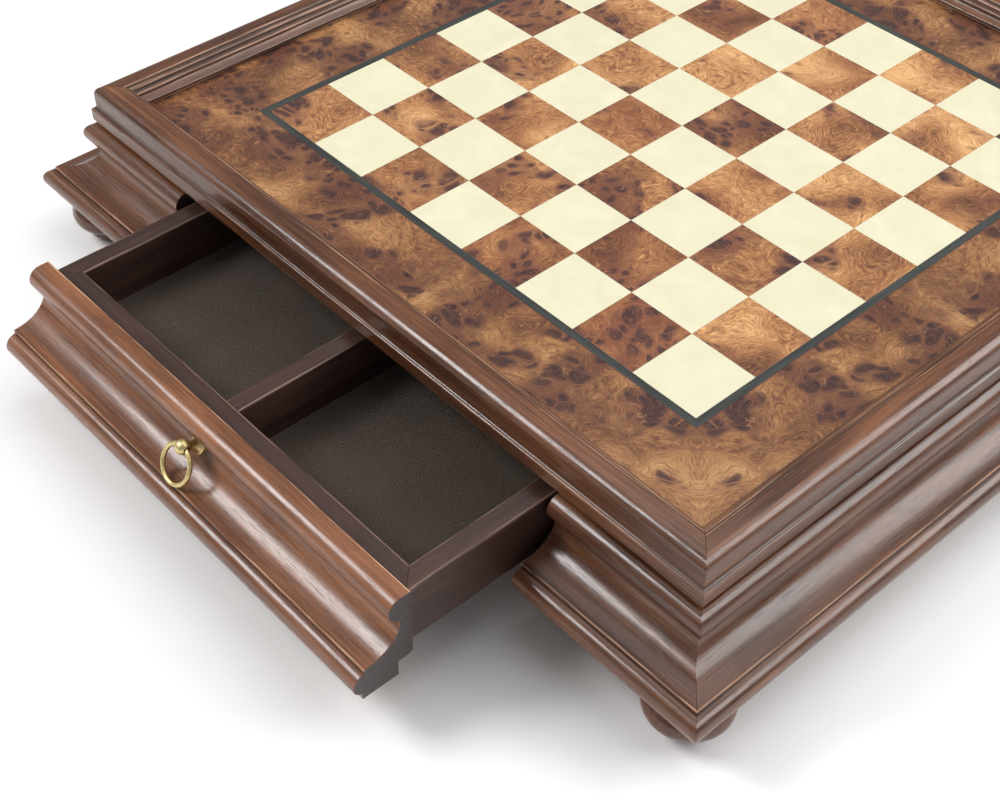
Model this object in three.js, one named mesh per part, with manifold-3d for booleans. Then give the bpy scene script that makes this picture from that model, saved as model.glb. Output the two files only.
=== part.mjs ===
// A low tabletop chess cabinet: an inlaid board in a raised, mitred frame, on a moulded base
// with one drawer and four turned feet.
//
// Millimetres, +Z up. The drawer opens towards -Y. The origin is on the surface that the feet
// stand on, under the middle of the whole object as it stands here, with its drawer part open.
//
// Most outlines are drawn in a vertical section: x is the distance out from the middle of the
// board, the same on all four sides, and y is the height above the playing surface.
import * as THREE from 'three';
import * as BufferGeometryUtils from 'three/addons/utils/BufferGeometryUtils.js';
import Module from 'manifold-3d';

const wasm = await Module();
wasm.setup();

// Driving dimensions
const SQUARE = 40;
const SURFACE_HEIGHT = 87;
const LINE_WIDTH = 4.4;
const BORDER_WIDTH = 43.3;
const DRAWER_OPEN = 89;
const DRAWER_HALF_WIDTH = 143;

// Clearances
const GLUE_GAP = 0.1;
const MITRE_GAP = 0.3;
const SLIDE_GAP = 0.4;
const SIDE_PLAY = 0.8;

// The board, from its middle outwards
const FIELD_HALF = 4 * SQUARE;
const LINE_OUTER = FIELD_HALF + LINE_WIDTH;
const RIM_INNER = LINE_OUTER + BORDER_WIDTH;
const BOARD_HALF = RIM_INNER + 10;
const FACE_VENEER = 1.1;
const BACK_VENEER = 0.7;
const BOARD_BOTTOM = -10;

// The raised frame round the board
const RIM_TOP = 12.5;
const RIM_FACE = RIM_INNER + 21;
const RIM_LIP = RIM_FACE + 2.2;

// The moulded base, whose section is also the drawer front's
const MOULDING_BACK = RIM_INNER + 16;
const MOULDING_TOP = -12.4;
const BASE_BOTTOM = -62;
const BEAD_RADIUS = 6.9;
const COVE_TOP_X = MOULDING_BACK + 6.6;
const COVE_TOP_Y = -28.2;
const COVE_RUN = 20.2;
const COVE_DROP = 15;
const FILLET_X = COVE_TOP_X + COVE_RUN;
const FILLET_BOTTOM = -45.6;
const NOSE_RADIUS_X = 6.1;
const NOSE_RADIUS_Y = 6.4;
const PLINTH_X = FILLET_X + 1.7;
const CARCASS_WALL = 11.8;
const BOTTOM_PANEL_TOP = -53.5;
const RAIL_DEPTH = 8;

// The drawer
const BOX_WALL = 11;
const BOX_HALF = DRAWER_HALF_WIDTH - 3.5;
const BOX_LENGTH = 380;
const BOX_TOP = -17;
const BOX_BOTTOM = -50;
const BACK_TOP = -13.5;
const BOTTOM_THICKNESS = 3;
const GROOVE_DEPTH = 3;
const GROOVE_BOTTOM = -49;
const LINING_THICKNESS = 0.9;
const DIVIDER_THICKNESS = 10;
const DRAWER_TRAVEL = 233;

// The ring pull, along an axis that leans up out of the cove
const PULL_LEAN = THREE.MathUtils.degToRad(27);
const PULL_X = MOULDING_BACK + 7.4;
const PULL_Y = -30.1;
const BALL_REACH = 11.6;
const BALL_RADIUS = 3.9;
const RING_HOLE_RADIUS = 1.85;
const RING_RADIUS = 9.8;
const RING_WIRE_RADIUS = 1.2;
const RING_SAG = 0.3;
const RING_REST = THREE.MathUtils.degToRad(30);
const SHANK_RADIUS = 1.3;
const SHANK_LENGTH = 13;

// The feet
const FOOT_X = RIM_FACE + 2.6;
const FOOT_HEIGHT = SURFACE_HEIGHT + BASE_BOTTOM;
const FOOT_RADIUS = 21.4;
const TENON_RADIUS = 5;
const TENON_HEIGHT = 10;
const PAD_THICKNESS = 1.1;

const SIDES = ['front', 'right', 'back', 'left'];
const ARC_STEPS = 10;

function wood(color, roughness = 0.4) {
  return new THREE.MeshStandardMaterial({ color, roughness, metalness: 0 });
}

const MATERIALS = {
  walnut: wood(0x5c3626, 0.3),
  burl: wood(0x8a5428, 0.25),
  cream: wood(0xf3ecc8, 0.3),
  black: wood(0x3a3d3a, 0.3),
  drawerWood: wood(0x3e2a28, 0.45),
  plywood: wood(0xb58a5a, 0.7),
  lining: wood(0x4a4035, 0.95),
  felt: wood(0x2f2a26, 1),
  brass: new THREE.MeshStandardMaterial({ color: 0xb59a5a, roughness: 0.35, metalness: 1 }),
};

// A height above the playing surface as a height above the floor.
function height(y) {
  return SURFACE_HEIGHT + y;
}

function mesh(name, geometry, material) {
  const made = new THREE.Mesh(geometry, material);
  made.name = name;
  return made;
}

// A box between two opposite corners, with its heights above the playing surface.
function block(x0, x1, y0, y1, z0, z1) {
  const geometry = new THREE.BoxGeometry(x1 - x0, y1 - y0, z1 - z0);
  return geometry.translate((x0 + x1) / 2, (y0 + y1) / 2, height((z0 + z1) / 2));
}

// A solid for manifold-3d, from any closed geometry.
function solid(geometry) {
  const bare = geometry.clone();
  bare.deleteAttribute('normal');
  bare.deleteAttribute('uv');
  const merged = BufferGeometryUtils.mergeVertices(bare, 1e-4);
  return new wasm.Manifold(new wasm.Mesh({
    numProp: 3,
    vertProperties: new Float32Array(merged.attributes.position.array),
    triVerts: new Uint32Array(merged.index.array),
  }));
}

function cut(geometry, ...tools) {
  let result = solid(geometry);
  for (const tool of tools) {
    result = result.subtract(solid(tool));
  }
  const made = result.getMesh();
  const cutGeometry = new THREE.BufferGeometry();
  cutGeometry.setAttribute('position', new THREE.BufferAttribute(made.vertProperties, 3));
  cutGeometry.setIndex(new THREE.BufferAttribute(made.triVerts, 1));
  cutGeometry.computeVertexNormals();
  return cutGeometry;
}

// Ways to end a strip: mitred at its right or left corner, or cut square at x.
const mitreRight = (distance) => distance - MITRE_GAP / 2;
const mitreLeft = (distance) => -mitreRight(distance);
const squareAt = (x) => () => x;

// A strip of one section along the front side, turned a quarter at a time to reach the others.
function strip(outline, quarterTurns = 0, rightEnd = mitreRight, leftEnd = mitreLeft) {
  const geometry = new THREE.ExtrudeGeometry(outline, {
    depth: 1,
    bevelEnabled: false,
    curveSegments: ARC_STEPS,
  });
  const position = geometry.attributes.position;
  for (let i = 0; i < position.count; i += 1) {
    const distance = position.getX(i);
    const end = position.getZ(i) < 0.5 ? rightEnd : leftEnd;
    position.setXYZ(i, end(distance), -distance, height(position.getY(i)));
  }
  geometry.rotateZ(quarterTurns * Math.PI / 2);
  geometry.computeVertexNormals();
  return geometry;
}

function polygon(points) {
  return new THREE.Shape(points.map(([x, y]) => new THREE.Vector2(x, y)));
}

function rectangle(x0, x1, y0, y1) {
  return polygon([[x0, y0], [x1, y0], [x1, y1], [x0, y1]]);
}

// The raised frame's section: a reeded inner edge, a flat top, a rounded shoulder, an upright
// face and a lip that hangs past it. A rebate underneath takes the edge of the board.
function rimOutline() {
  const rebate = BOARD_HALF + 0.4;
  const outline = new THREE.Shape();
  outline.moveTo(rebate, BOARD_BOTTOM);
  outline.lineTo(RIM_LIP - 1.2, BOARD_BOTTOM);
  outline.quadraticCurveTo(RIM_LIP, BOARD_BOTTOM, RIM_LIP, BOARD_BOTTOM + 1.2);
  outline.lineTo(RIM_LIP, -3);
  outline.quadraticCurveTo(RIM_LIP, -2, RIM_LIP - 1, -1.8);
  outline.quadraticCurveTo(RIM_FACE, -1.6, RIM_FACE, 0);
  outline.lineTo(RIM_FACE, RIM_TOP - 5.5);
  outline.absellipse(RIM_FACE - 6, RIM_TOP - 5.5, 6, 5.5, 0, Math.PI / 2, false);
  outline.lineTo(RIM_INNER + 8.9, RIM_TOP);
  outline.lineTo(RIM_INNER + 8.5, RIM_TOP - 0.3);
  outline.lineTo(RIM_INNER + 8.4, RIM_TOP - 1.4);
  outline.absellipse(RIM_INNER + 7, RIM_TOP - 2.9, 1.4, 1.5, Math.PI * 0.42, Math.PI * 1.1, false);
  outline.lineTo(RIM_INNER + 5.8, RIM_TOP - 3.9);
  outline.absellipse(RIM_INNER + 4.7, RIM_TOP - 5.4, 1.1, 1.2, Math.PI * 0.42, Math.PI * 1.05, false);
  outline.lineTo(RIM_INNER + 4.1, RIM_TOP - 6.4);
  outline.lineTo(RIM_INNER + 3.4, RIM_TOP - 6.5);
  outline.quadraticCurveTo(RIM_INNER + 2, RIM_TOP - 8.1, RIM_INNER + 0.3, RIM_TOP - 9);
  outline.quadraticCurveTo(RIM_INNER, RIM_TOP - 9.3, RIM_INNER, RIM_TOP - 9.7);
  outline.lineTo(RIM_INNER + 0.9, 1.8);
  outline.lineTo(RIM_INNER + 0.9, 0.3);
  outline.lineTo(rebate, 0.3);
  outline.closePath();
  return outline;
}

// The outer face of the base from its top bead down: bead, quirk, cove, fillet, nose, plinth.
function addMouldingFace(outline) {
  const beadX = COVE_TOP_X - 1.2;
  const beadY = MOULDING_TOP - BEAD_RADIUS;
  const noseY = FILLET_BOTTOM - NOSE_RADIUS_Y;
  outline.absarc(beadX, beadY, BEAD_RADIUS, Math.PI / 2, -Math.PI / 2 + 0.18, true);
  outline.lineTo(COVE_TOP_X, COVE_TOP_Y);
  outline.absellipse(FILLET_X, COVE_TOP_Y, COVE_RUN, COVE_DROP, Math.PI, 1.5 * Math.PI, false);
  outline.lineTo(FILLET_X, FILLET_BOTTOM);
  outline.absellipse(FILLET_X, noseY, NOSE_RADIUS_X, NOSE_RADIUS_Y, Math.PI / 2, -1.05, true);
  outline.lineTo(PLINTH_X, noseY - NOSE_RADIUS_Y * 0.95);
  outline.lineTo(PLINTH_X, BASE_BOTTOM);
}

function baseOutline() {
  const outline = new THREE.Shape();
  outline.moveTo(MOULDING_BACK, MOULDING_TOP);
  addMouldingFace(outline);
  outline.lineTo(MOULDING_BACK, BASE_BOTTOM);
  outline.closePath();
  return outline;
}

// The drawer front is the same moulding with its lower back cut away, to pass over the rail.
function drawerFrontOutline() {
  const lipBack = MOULDING_BACK + RAIL_DEPTH + SLIDE_GAP;
  const lipTop = BOTTOM_PANEL_TOP + SLIDE_GAP;
  const chamfer = 1.4;
  const outline = new THREE.Shape();
  outline.moveTo(MOULDING_BACK, MOULDING_TOP);
  addMouldingFace(outline);
  outline.lineTo(lipBack, BASE_BOTTOM);
  outline.lineTo(lipBack, lipTop);
  outline.lineTo(MOULDING_BACK + chamfer, lipTop);
  outline.lineTo(MOULDING_BACK, lipTop + chamfer);
  outline.closePath();
  return outline;
}

// The wall of the drawer's box, with a groove for the bottom, as the front side's section.
function boxWallOutline(outerX) {
  const innerX = outerX - BOX_WALL;
  const grooveX = innerX + GROOVE_DEPTH;
  const grooveTop = GROOVE_BOTTOM + BOTTOM_THICKNESS + 2 * GLUE_GAP;
  return polygon([
    [innerX, BOX_BOTTOM], [outerX, BOX_BOTTOM], [outerX, BOX_TOP], [innerX, BOX_TOP],
    [innerX, grooveTop], [grooveX, grooveTop], [grooveX, GROOVE_BOTTOM], [innerX, GROOVE_BOTTOM],
  ]);
}

function addBoard(group) {
  const veneerBottom = -FACE_VENEER;
  const backTop = BOARD_BOTTOM + GLUE_GAP + BACK_VENEER;
  const coreBottom = backTop + GLUE_GAP;
  const coreTop = veneerBottom - GLUE_GAP;
  const half = BOARD_HALF;
  const core = block(-half, half, -half, half, coreBottom, coreTop);
  const backing = block(-half, half, -half, half, BOARD_BOTTOM + GLUE_GAP, backTop);
  const field = block(-FIELD_HALF, FIELD_HALF, -FIELD_HALF, FIELD_HALF, veneerBottom, 0);
  group.add(mesh('board_core', core, MATERIALS.plywood));
  group.add(mesh('board_backing_veneer', backing, MATERIALS.walnut));
  group.add(mesh('chequer_field', field, MATERIALS.cream));
  const line = rectangle(FIELD_HALF + GLUE_GAP, LINE_OUTER, veneerBottom, 0);
  const border = rectangle(LINE_OUTER + GLUE_GAP, BOARD_HALF, veneerBottom, 0);
  SIDES.forEach((side, turns) => {
    group.add(mesh(`stringing_${side}`, strip(line, turns), MATERIALS.black));
    group.add(mesh(`burl_border_${side}`, strip(border, turns), MATERIALS.burl));
  });
}

function addRim(group) {
  const outline = rimOutline();
  SIDES.forEach((side, turns) => {
    group.add(mesh(`rim_${side}`, strip(outline, turns), MATERIALS.walnut));
  });
}

function footCentres() {
  return {
    front_left: [-FOOT_X, -FOOT_X],
    front_right: [FOOT_X, -FOOT_X],
    back_left: [-FOOT_X, FOOT_X],
    back_right: [FOOT_X, FOOT_X],
  };
}

// Sockets for the feet's tenons, bored up into the corners of the base.
function tenonSockets() {
  const radius = TENON_RADIUS + GLUE_GAP;
  const depth = TENON_HEIGHT + 1;
  return Object.values(footCentres()).map(([x, y]) => {
    const socket = new THREE.CylinderGeometry(radius, radius, 2 * depth, 24);
    return socket.rotateX(Math.PI / 2).translate(x, y, FOOT_HEIGHT);
  });
}

function addBaseMouldings(group) {
  const outline = baseOutline();
  const sockets = tenonSockets();
  const jamb = DRAWER_HALF_WIDTH + SIDE_PLAY;
  const pieces = {
    base_moulding_right: strip(outline, 1),
    base_moulding_back: strip(outline, 2),
    base_moulding_left: strip(outline, 3),
    base_moulding_front_right: strip(outline, 0, mitreRight, squareAt(jamb)),
    base_moulding_front_left: strip(outline, 0, squareAt(-jamb), mitreLeft),
  };
  for (const [name, geometry] of Object.entries(pieces)) {
    group.add(mesh(name, cut(geometry, ...sockets), MATERIALS.walnut));
  }
}

// The plain inner carcass that the mouldings are glued to and the board rests on.
function addCarcass(group) {
  const outer = MOULDING_BACK - GLUE_GAP;
  const inner = outer - CARCASS_WALL;
  const panelTop = BOTTOM_PANEL_TOP;
  const wallBottom = panelTop + GLUE_GAP;
  const wallTop = BOARD_BOTTOM - GLUE_GAP;
  const jamb = DRAWER_HALF_WIDTH + SIDE_PLAY;
  const railEnd = jamb - GLUE_GAP;
  const panelBottom = BASE_BOTTOM + GLUE_GAP;
  const wall = rectangle(inner, outer, wallBottom, wallTop);
  const panel = block(-outer, outer, -outer, outer, panelBottom, panelTop);
  const railBack = MOULDING_BACK;
  const rail = block(-railEnd, railEnd, -railBack - RAIL_DEPTH, -railBack, panelBottom, panelTop);
  group.add(mesh('bottom_panel', panel, MATERIALS.plywood));
  group.add(mesh('drawer_rail', rail, MATERIALS.walnut));
  group.add(mesh('carcass_wall_right', strip(wall, 1), MATERIALS.plywood));
  group.add(mesh('carcass_wall_back', strip(wall, 2), MATERIALS.plywood));
  group.add(mesh('carcass_wall_left', strip(wall, 3), MATERIALS.plywood));
  const frontRight = strip(wall, 0, mitreRight, squareAt(jamb));
  const frontLeft = strip(wall, 0, squareAt(-jamb), mitreLeft);
  group.add(mesh('carcass_front_right', frontRight, MATERIALS.plywood));
  group.add(mesh('carcass_front_left', frontLeft, MATERIALS.plywood));
}

// Three-cornered blocks glued into the carcass corners.
function addCornerBlocks(group) {
  const leg = 34;
  const corner = MOULDING_BACK - CARCASS_WALL - 3 * GLUE_GAP;
  const bottom = BOTTOM_PANEL_TOP + GLUE_GAP;
  const top = BOX_TOP - 3;
  const triangle = polygon([[corner, corner], [corner - leg, corner], [corner, corner - leg]]);
  const names = ['back_right', 'back_left', 'front_left', 'front_right'];
  names.forEach((name, turns) => {
    const geometry = new THREE.ExtrudeGeometry(triangle, { depth: top - bottom, bevelEnabled: false });
    geometry.translate(0, 0, height(bottom)).rotateZ(turns * Math.PI / 2);
    group.add(mesh(`corner_block_${name}`, geometry, MATERIALS.plywood));
  });
}

// What the drawer runs on, between and up against.
function addDrawerGuides(group) {
  const reach = MOULDING_BACK - CARCASS_WALL - 3 * GLUE_GAP;
  const bottom = BOTTOM_PANEL_TOP + GLUE_GAP;
  const runnerTop = BOX_BOTTOM - SLIDE_GAP;
  const runnerFront = -(MOULDING_BACK - 1);
  const guideTop = bottom + 14;
  const guideInner = BOX_HALF + SIDE_PLAY;
  const guideOuter = guideInner + 12;
  const closedBackFace = BOX_LENGTH - BOX_WALL - MOULDING_BACK;
  const stopBack = closedBackFace - DRAWER_TRAVEL - SLIDE_GAP;
  const stopInner = BOX_HALF - 50;
  for (const [side, sign] of [['left', -1], ['right', 1]]) {
    const span = (a, b) => [Math.min(sign * a, sign * b), Math.max(sign * a, sign * b)];
    const runner = block(...span(BOX_HALF - BOX_WALL, BOX_HALF), runnerFront, reach, bottom, runnerTop);
    const guide = block(...span(guideInner, guideOuter), -reach, reach, bottom, guideTop);
    const stop = block(...span(stopInner, stopInner + 30), stopBack - 12, stopBack,
      BACK_TOP - 2.5, BOARD_BOTTOM);
    group.add(mesh(`drawer_runner_${side}`, runner, MATERIALS.plywood));
    group.add(mesh(`drawer_guide_${side}`, guide, MATERIALS.plywood));
    group.add(mesh(`drawer_stop_${side}`, stop, MATERIALS.plywood));
  }
}

// A bun over a smaller bead, with a tenon up into the base.
function footGeometry() {
  const bunHalf = 6.9;
  const bunY = FOOT_HEIGHT - 9.4;
  const bunX = FOOT_RADIUS - 5.9;
  const beadY = 3.8;
  const beadX = 11.4;
  const top = FOOT_HEIGHT - GLUE_GAP;
  const outline = new THREE.Path();
  outline.moveTo(0, PAD_THICKNESS + GLUE_GAP);
  outline.lineTo(beadX, PAD_THICKNESS + GLUE_GAP);
  outline.absellipse(beadX, beadY, 2.3, 2.6, -Math.PI / 2, 0.4 * Math.PI, false);
  outline.lineTo(beadX + 0.2, bunY - bunHalf - 0.8);
  outline.lineTo(bunX, bunY - bunHalf);
  outline.absellipse(bunX, bunY, 5.9, bunHalf, -Math.PI / 2, Math.PI / 2, false);
  outline.lineTo(bunX + 1, top - 1.6);
  outline.lineTo(bunX + 1, top);
  outline.lineTo(TENON_RADIUS, top);
  outline.lineTo(TENON_RADIUS, top + TENON_HEIGHT);
  outline.lineTo(0, top + TENON_HEIGHT);
  return new THREE.LatheGeometry(outline.getPoints(8), 40).rotateX(Math.PI / 2);
}

function addFeet(group) {
  for (const [corner, [x, y]] of Object.entries(footCentres())) {
    const foot = mesh(`foot_${corner}`, footGeometry(), MATERIALS.walnut);
    const padGeometry = new THREE.CylinderGeometry(11, 11, PAD_THICKNESS, 32).rotateX(Math.PI / 2);
    const pad = mesh(`foot_pad_${corner}`, padGeometry, MATERIALS.felt);
    foot.position.set(x, y, 0);
    pad.position.set(x, y, PAD_THICKNESS / 2);
    group.add(foot, pad);
  }
}

// The direction of the pull's axis, out of the wood, and a point on it.
const PULL_AXIS = new THREE.Vector3(0, -Math.cos(PULL_LEAN), Math.sin(PULL_LEAN));
const PULL_FOOT = new THREE.Vector3(0, -PULL_X, height(PULL_Y));

// Lays a turned piece, drawn with its foot at the origin and its axis along +Y, on the pull's axis.
function onPullAxis(geometry) {
  const turn = new THREE.Quaternion().setFromUnitVectors(new THREE.Vector3(0, 1, 0), PULL_AXIS);
  return geometry.applyQuaternion(turn).translate(PULL_FOOT.x, PULL_FOOT.y, PULL_FOOT.z);
}

function shankHole() {
  const radius = SHANK_RADIUS + GLUE_GAP;
  const depth = SHANK_LENGTH + 1;
  const hole = new THREE.CylinderGeometry(radius, radius, depth + 4, 20);
  return onPullAxis(hole.translate(0, 2 - depth / 2, 0));
}

// A flared collar between the ball and the wood, let into the cove with a small flat seat.
function rosetteGeometry() {
  const bore = SHANK_RADIUS + 0.35;
  const foot = [[bore, 0.9], [4.5, 0.9], [4.8, 1.2], [4.8, 2.9], [4.5, 3.3]];
  const neck = [[3.3, 4.6], [2.5, 6], [2.2, 7.4], [2.2, 8], [bore, 8]];
  const points = [...foot, ...neck];
  const outline = [...points, points[0]].map(([x, y]) => new THREE.Vector2(x, y));
  return onPullAxis(new THREE.LatheGeometry(outline, 36));
}

// The bed that the flared collar sits in.
function rosetteSeat() {
  return onPullAxis(new THREE.CylinderGeometry(5.1, 5.1, 5, 36).translate(0, 0.6 + 2.5, 0));
}

// Ball, neck and screw shank in one turned piece, with a cross hole for the ring.
function pullPostGeometry() {
  const neckAngle = Math.asin(SHANK_RADIUS / BALL_RADIUS);
  const outline = new THREE.Path();
  outline.moveTo(0, -SHANK_LENGTH);
  outline.lineTo(SHANK_RADIUS, 1.2 - SHANK_LENGTH);
  outline.lineTo(SHANK_RADIUS, BALL_REACH - BALL_RADIUS * Math.cos(neckAngle));
  outline.absarc(0, BALL_REACH, BALL_RADIUS, neckAngle - Math.PI / 2, Math.PI / 2, false);
  const points = outline.getPoints(14);
  points[points.length - 1].x = 0;
  const turned = onPullAxis(new THREE.LatheGeometry(points, 32));
  const hole = new THREE.CylinderGeometry(RING_HOLE_RADIUS, RING_HOLE_RADIUS, 4 * BALL_RADIUS, 24);
  const centre = ballCentre();
  return cut(turned, hole.rotateZ(Math.PI / 2).translate(centre.x, centre.y, centre.z));
}

function ballCentre() {
  return PULL_FOOT.clone().addScaledVector(PULL_AXIS, BALL_REACH);
}

// The ring hangs on the ball's cross hole and leans on the edge of the fillet below it.
function makeRing() {
  const hanger = new THREE.Group();
  const torus = new THREE.TorusGeometry(RING_RADIUS, RING_WIRE_RADIUS, 10, 48);
  torus.rotateX(Math.PI / 2).translate(0, 0, RING_SAG - RING_RADIUS);
  hanger.position.copy(ballCentre());
  hanger.rotation.x = -RING_REST;
  hanger.add(mesh('pull_ring', torus, MATERIALS.brass));
  return hanger;
}

function addDrawerBox(drawer) {
  const front = MOULDING_BACK - GLUE_GAP;
  const back = BOX_LENGTH - front;
  const innerHalf = BOX_HALF - BOX_WALL;
  const innerFront = front - BOX_WALL;
  const innerBack = back - BOX_WALL;
  const cornerX = (distance) => BOX_HALF - (front - distance) - MITRE_GAP / 2;
  const cornerY = (distance) => front - (BOX_HALF - distance) - MITRE_GAP / 2;
  const frontPanel = strip(boxWallOutline(front), 0, cornerX, (distance) => -cornerX(distance));
  const leftSide = strip(boxWallOutline(BOX_HALF), 3, cornerY, squareAt(-back));
  const rightSide = strip(boxWallOutline(BOX_HALF), 1, squareAt(back), (distance) => -cornerY(distance));
  const floorBottom = GROOVE_BOTTOM + GLUE_GAP;
  const floorTop = floorBottom + BOTTOM_THICKNESS;
  const floorHalf = innerHalf + GROOVE_DEPTH - GLUE_GAP;
  const floorFront = -(innerFront + GROOVE_DEPTH - GLUE_GAP);
  const standing = floorTop + GLUE_GAP;
  const backHalf = innerHalf - GLUE_GAP;
  const divider = DIVIDER_THICKNESS / 2;
  const endY = innerBack - GLUE_GAP;
  const wallY = -(innerFront - GLUE_GAP);
  const floor = block(-floorHalf, floorHalf, floorFront, back, floorBottom, floorTop);
  const backPanel = block(-backHalf, backHalf, innerBack, back, standing, BACK_TOP);
  const dividerGeometry = block(-divider, divider, wallY, endY, standing, BOX_TOP);
  const liningTop = standing + LINING_THICKNESS;
  const liningInner = divider + GLUE_GAP;
  const leftLining = block(-backHalf, -liningInner, wallY, endY, standing, liningTop);
  const rightLining = block(liningInner, backHalf, wallY, endY, standing, liningTop);
  drawer.add(mesh('drawer_box_front', cut(frontPanel, shankHole()), MATERIALS.drawerWood));
  drawer.add(mesh('drawer_side_left', leftSide, MATERIALS.drawerWood));
  drawer.add(mesh('drawer_side_right', rightSide, MATERIALS.drawerWood));
  drawer.add(mesh('drawer_back', backPanel, MATERIALS.drawerWood));
  drawer.add(mesh('drawer_bottom', floor, MATERIALS.plywood));
  drawer.add(mesh('drawer_divider', dividerGeometry, MATERIALS.drawerWood));
  drawer.add(mesh('compartment_lining_left', leftLining, MATERIALS.lining));
  drawer.add(mesh('compartment_lining_right', rightLining, MATERIALS.lining));
}

function makeDrawer() {
  const drawer = new THREE.Group();
  const right = squareAt(DRAWER_HALF_WIDTH);
  const left = squareAt(-DRAWER_HALF_WIDTH);
  const front = strip(drawerFrontOutline(), 0, right, left);
  drawer.add(mesh('drawer_front_moulding', cut(front, shankHole(), rosetteSeat()), MATERIALS.walnut));
  drawer.add(mesh('pull_rosette', rosetteGeometry(), MATERIALS.brass));
  drawer.add(mesh('pull_post', pullPostGeometry(), MATERIALS.brass));
  drawer.add(makeRing());
  addDrawerBox(drawer);
  drawer.position.y = -DRAWER_OPEN;
  return drawer;
}

const cabinet = new THREE.Group();
addBoard(cabinet);
addRim(cabinet);
addBaseMouldings(cabinet);
addCarcass(cabinet);
addCornerBlocks(cabinet);
addDrawerGuides(cabinet);
addFeet(cabinet);
cabinet.add(makeDrawer());
cabinet.position.y = DRAWER_OPEN / 2;

const table = new THREE.Group();
table.add(cabinet);

export default table;
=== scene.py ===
"""Finished meshes, materials, light and camera for the tabletop chess cabinet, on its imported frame."""

import math
import random

import bmesh
import bpy
import numpy as np
from mathutils import Matrix, Vector


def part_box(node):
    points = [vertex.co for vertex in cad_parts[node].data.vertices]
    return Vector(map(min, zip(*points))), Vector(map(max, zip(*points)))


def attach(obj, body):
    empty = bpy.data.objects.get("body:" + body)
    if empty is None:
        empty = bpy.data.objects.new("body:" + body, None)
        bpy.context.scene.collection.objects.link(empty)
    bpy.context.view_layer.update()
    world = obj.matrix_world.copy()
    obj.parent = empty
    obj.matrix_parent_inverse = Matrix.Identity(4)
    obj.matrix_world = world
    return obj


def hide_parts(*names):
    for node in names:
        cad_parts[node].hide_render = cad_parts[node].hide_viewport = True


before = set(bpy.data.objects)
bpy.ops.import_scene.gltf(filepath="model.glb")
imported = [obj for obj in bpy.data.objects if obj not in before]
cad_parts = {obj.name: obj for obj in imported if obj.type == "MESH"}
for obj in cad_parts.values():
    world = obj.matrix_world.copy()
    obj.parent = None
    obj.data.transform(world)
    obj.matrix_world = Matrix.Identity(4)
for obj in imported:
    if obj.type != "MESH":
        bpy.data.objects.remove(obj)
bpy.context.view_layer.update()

MM = 0.001
CHANCE = random.Random(64)

# ---------------- datums, from the CAD nodes
# Outlines are in millimetres: how far out from the middle of the board, and how high above the
# playing surface. Every side of the cabinet is drawn as the front side and turned into place.


def middle(node):
    low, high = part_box(node)
    return (low + high) / 2


def reach(node):
    """The nearest and farthest that a node of the front side is from the middle of the board."""
    low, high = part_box(node)
    return (CENTRE.y - high.y) / MM, (CENTRE.y - low.y) / MM


def heights(node):
    low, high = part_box(node)
    return (low.z - SURFACE) / MM, (high.z - SURFACE) / MM


def right_of_middle(node):
    """How far a node's two sides are to the right of the middle line."""
    low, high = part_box(node)
    return (low.x - CENTRE.x) / MM, (high.x - CENTRE.x) / MM


CENTRE = middle("chequer_field")
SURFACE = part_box("chequer_field")[1].z
FIELD_HALF = right_of_middle("chequer_field")[1]
SQUARE = FIELD_HALF / 4
LINE_OUTER = reach("stringing_front")[1]
BOARD_HALF = reach("burl_border_front")[1]
RIM_INNER, RIM_LIP = reach("rim_front")
RIM_BOTTOM, RIM_TOP = heights("rim_front")
LIP_OVERHANG = 2.2
RIM_FACE = RIM_LIP - LIP_OVERHANG
MOULDING_BACK, NOSE_TIP = reach("base_moulding_front_right")
BASE_BOTTOM, MOULDING_TOP = heights("base_moulding_front_right")
VENEER_BOTTOM = heights("chequer_field")[0]
JAMB = right_of_middle("base_moulding_front_right")[0]
DRAWER_HALF = right_of_middle("drawer_front_moulding")[1]
DRAWER_OPEN = reach("drawer_front_moulding")[1] - NOSE_TIP
DRAWER_CENTRE = CENTRE - Vector((0, DRAWER_OPEN * MM, 0))
BOX_BOTTOM, BOX_TOP = heights("drawer_side_right")
BOX_INNER, BOX_HALF = right_of_middle("drawer_side_right")
BOX_WALL = BOX_HALF - BOX_INNER
BOX_FRONT = reach("drawer_box_front")[1] - DRAWER_OPEN
BOX_BACK = (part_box("drawer_side_right")[1].y - DRAWER_CENTRE.y) / MM
LINING_BOTTOM = heights("compartment_lining_left")[0]

# The moulding's own proportions, which the boxes of its nodes don't show
BEAD_RADIUS = 6.9
COVE_TOP_X = MOULDING_BACK + 6.6
COVE_TOP_Y = -28.2
COVE_RUN = 20.2
COVE_DROP = 15.0
FILLET_X = COVE_TOP_X + COVE_RUN
FILLET_BOTTOM = -45.6
NOSE_RADIUS_X = NOSE_TIP - FILLET_X
NOSE_RADIUS_Y = 6.4
PLINTH_X = FILLET_X + 1.7

# Joints as they look on the finished object: mitres and veneers meet closer than in the CAD
MITRE_GAP = 0.12
VENEER_GAP = 0.02
GLUE_GAP = 0.1

# The ring pull
PULL_LEAN = math.radians(27)
PULL_OUT = 7.4
PULL_DROP = 30.1
BALL_REACH = 11.6
BALL_RADIUS = 3.88
CROSS_HOLE_RADIUS = 1.85
SHANK_HOLE_RADIUS = 1.4
RING_RADIUS = 9.8
RING_WIRE_RADIUS = 1.2
RING_SAG = 0.3
RING_LEAN = math.radians(30)

SIDES = ("front", "right", "back", "left")

# ---------------- outlines


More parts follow.
